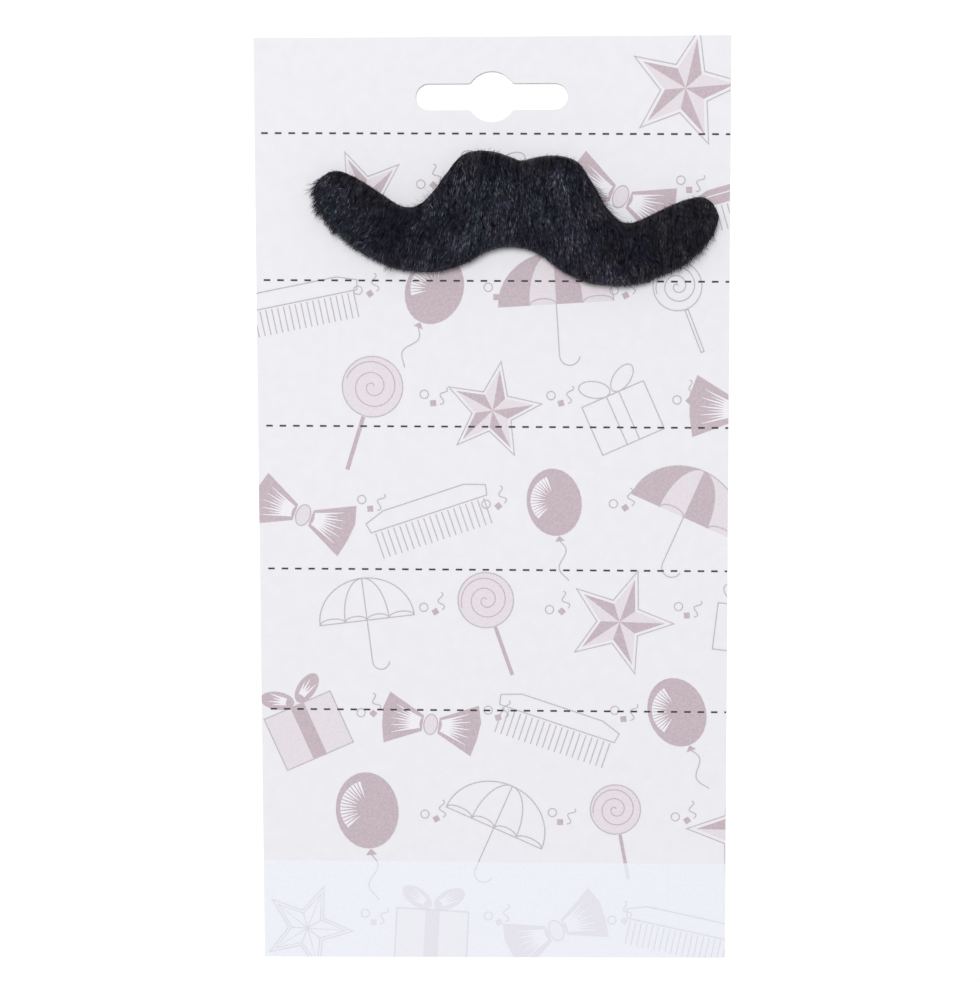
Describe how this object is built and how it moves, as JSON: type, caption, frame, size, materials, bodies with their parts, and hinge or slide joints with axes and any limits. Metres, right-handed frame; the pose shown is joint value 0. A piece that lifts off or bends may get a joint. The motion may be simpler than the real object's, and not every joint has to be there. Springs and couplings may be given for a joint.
{
  "type": "fake moustache on hanging card",
  "caption": "Stick-on fake moustache of dark long-pile fur cloth with full lobes and upturned tips, lying on a plain hanging card with a hook slot.",
  "frame": {"origin": "on the card's back face, under the middle of its outline", "axes": "+Y up the card towards the hook slot, +X to the right as the card is read, +Z out of the card towards the fur"},
  "size_m": [0.133, 0.262, 0.0074],
  "materials": {
    "paperboard": "coated card, slight sheen",
    "adhesive": "translucent cream tape",
    "knit_backing": "matte black knit",
    "fur": "soft blue-black synthetic fur"
  },
  "bodies": {
    "root": {"card": "paperboard", "adhesive_tape": "adhesive", "backing_cloth": "knit_backing", "fur_pile": "fur"}
  },
  "joints": []
}
